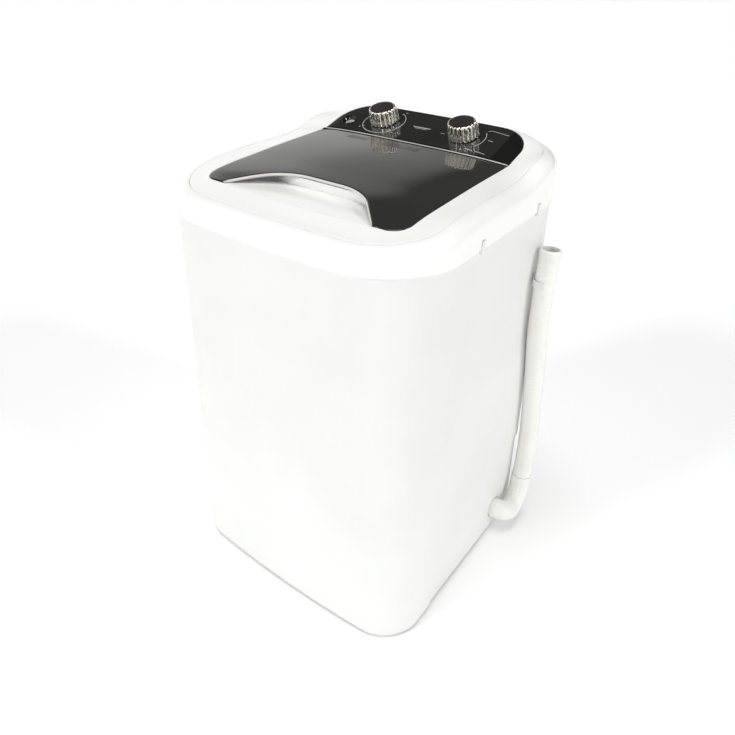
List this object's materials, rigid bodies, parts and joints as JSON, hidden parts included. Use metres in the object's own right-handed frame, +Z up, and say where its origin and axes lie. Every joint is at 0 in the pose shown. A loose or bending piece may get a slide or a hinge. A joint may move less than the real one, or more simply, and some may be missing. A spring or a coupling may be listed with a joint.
{
  "type": "top load washing machine",
  "caption": "Portable top-load washing machine: tapered cabinet, hinged smoked lid with a finger cut-out, sloping control panel with two rotary dials, side drain hose",
  "frame": {"origin": "on the floor under the middle of the body, without the drain hose", "axes": "+Z up, -Y towards the user at the front, +X the user's right-hand side, where the drain hose is"},
  "size_m": [0.3973, 0.3782, 0.5846],
  "materials": {
    "cabinet_white": "white moulded ABS, fine satin",
    "deck_white": "glossy white moulded ABS",
    "smoked_lid": "smoked clear acrylic, polished",
    "panel_black": "gloss black moulded ABS",
    "chrome_trim": "bright chrome plating on ABS",
    "zinc_steel": "zinc plated steel",
    "black_rubber": "moulded rubber",
    "hose_cream": "off-white soft PVC",
    "tub_grey": "pale grey polypropylene",
    "pulsator_blue": "blue-grey polypropylene",
    "dark_nylon": "dark moulded nylon",
    "cast_alloy": "die-cast aluminium alloy",
    "motor_enamel": "dark enamel on steel",
    "sintered_bronze": "oil-filled sintered bronze",
    "filter_mesh": "fine nylon mesh in a moulded frame"
  },
  "bodies": {
    "machine": {"base_pan": "cabinet_white", "bearing_housing": "cast_alloy", "cabinet_shell": "cabinet_white", "collar_latch_left_front": "cabinet_white", "collar_latch_left_rear": "cabinet_white", "collar_latch_right_front": "cabinet_white", "collar_latch_right_rear": "cabinet_white", "control_panel": "panel_black", "cord_gland": "black_rubber", "drain_clamp": "zinc_steel", "drain_elbow": "hose_cream", "drain_grille": "tub_grey", "drain_hose": "hose_cream", "drain_outlet": "tub_grey", "drain_pipe": "black_rubber", "drive_belt": "black_rubber", "filter_guide": "tub_grey", "foot_front_left": "black_rubber", "foot_front_right": "black_rubber", "foot_rear_left": "black_rubber", "foot_rear_right": "black_rubber", "hose_clip": "cabinet_white", "hose_end_cuff": "hose_cream", "lower_bushing": "sintered_bronze", "motor_body": "motor_enamel", "motor_bracket": "zinc_steel", "motor_grommet_1": "black_rubber", "motor_grommet_2": "black_rubber", "motor_grommet_3": "black_rubber", "motor_screw_1": "zinc_steel", "motor_screw_2": "zinc_steel", "motor_screw_3": "zinc_steel", "run_capacitor": "cast_alloy", "selector_switch": "dark_nylon", "shaft_seal": "black_rubber", "timer_mechanism": "dark_nylon", "top_collar": "deck_white", "top_deck": "deck_white", "upper_bushing": "sintered_bronze", "wash_tub": "tub_grey", "water_inlet_cup": "tub_grey"},
    "lid": {"lid_panel": "smoked_lid", "hinge_pin_left": "zinc_steel", "hinge_pin_right": "zinc_steel"},
    "timer_dial": {"timer_knob": "chrome_trim", "timer_knob_cap": "panel_black", "timer_shaft": "zinc_steel"},
    "selector_dial": {"selector_knob": "chrome_trim", "selector_knob_cap": "panel_black", "selector_shaft": "zinc_steel"},
    "agitator": {"pulsator": "pulsator_blue", "pulsator_screw": "zinc_steel", "pulsator_shaft": "zinc_steel", "drive_pulley": "cast_alloy"},
    "rotor": {"motor_rotor": "zinc_steel", "motor_pulley": "zinc_steel"},
    "filter": {"lint_filter": "filter_mesh"}
  },
  "joints": [
    {"name": "lid_hinge", "type": "hinge", "parent": "machine", "child": "lid", "pos_m": [0, 0.0842, 0.54463], "axis": [-1, 0, 0], "range_deg": [0, 90]},
    {"name": "timer_turn", "type": "hinge", "parent": "machine", "child": "timer_dial", "pos_m": [-0.064, 0.123, 0.55971], "axis": [0, 0.2921, -0.9564], "range_deg": [0, 290]},
    {"name": "selector_turn", "type": "hinge", "parent": "machine", "child": "selector_dial", "pos_m": [0.057, 0.123, 0.55977], "axis": [0, 0.2921, -0.9564], "range_deg": [-45, 45]},
    {"name": "agitator_spin", "type": "hinge", "parent": "machine", "child": "agitator", "pos_m": [0, 0, 0.206], "axis": [0, 0, 1], "continuous": true},
    {"name": "rotor_spin", "type": "hinge", "parent": "machine", "child": "rotor", "pos_m": [-0.092, -0.082, 0.066], "axis": [0, 0, 1], "continuous": true},
    {"name": "filter_lift", "type": "slide", "parent": "machine", "child": "filter", "axis": [0, 0, 1], "range_m": [0, 0.04]}
  ],
  "couplings": [
    {"joint": "rotor_spin", "follows": "agitator_spin", "ratio": 7.25}
  ]
}
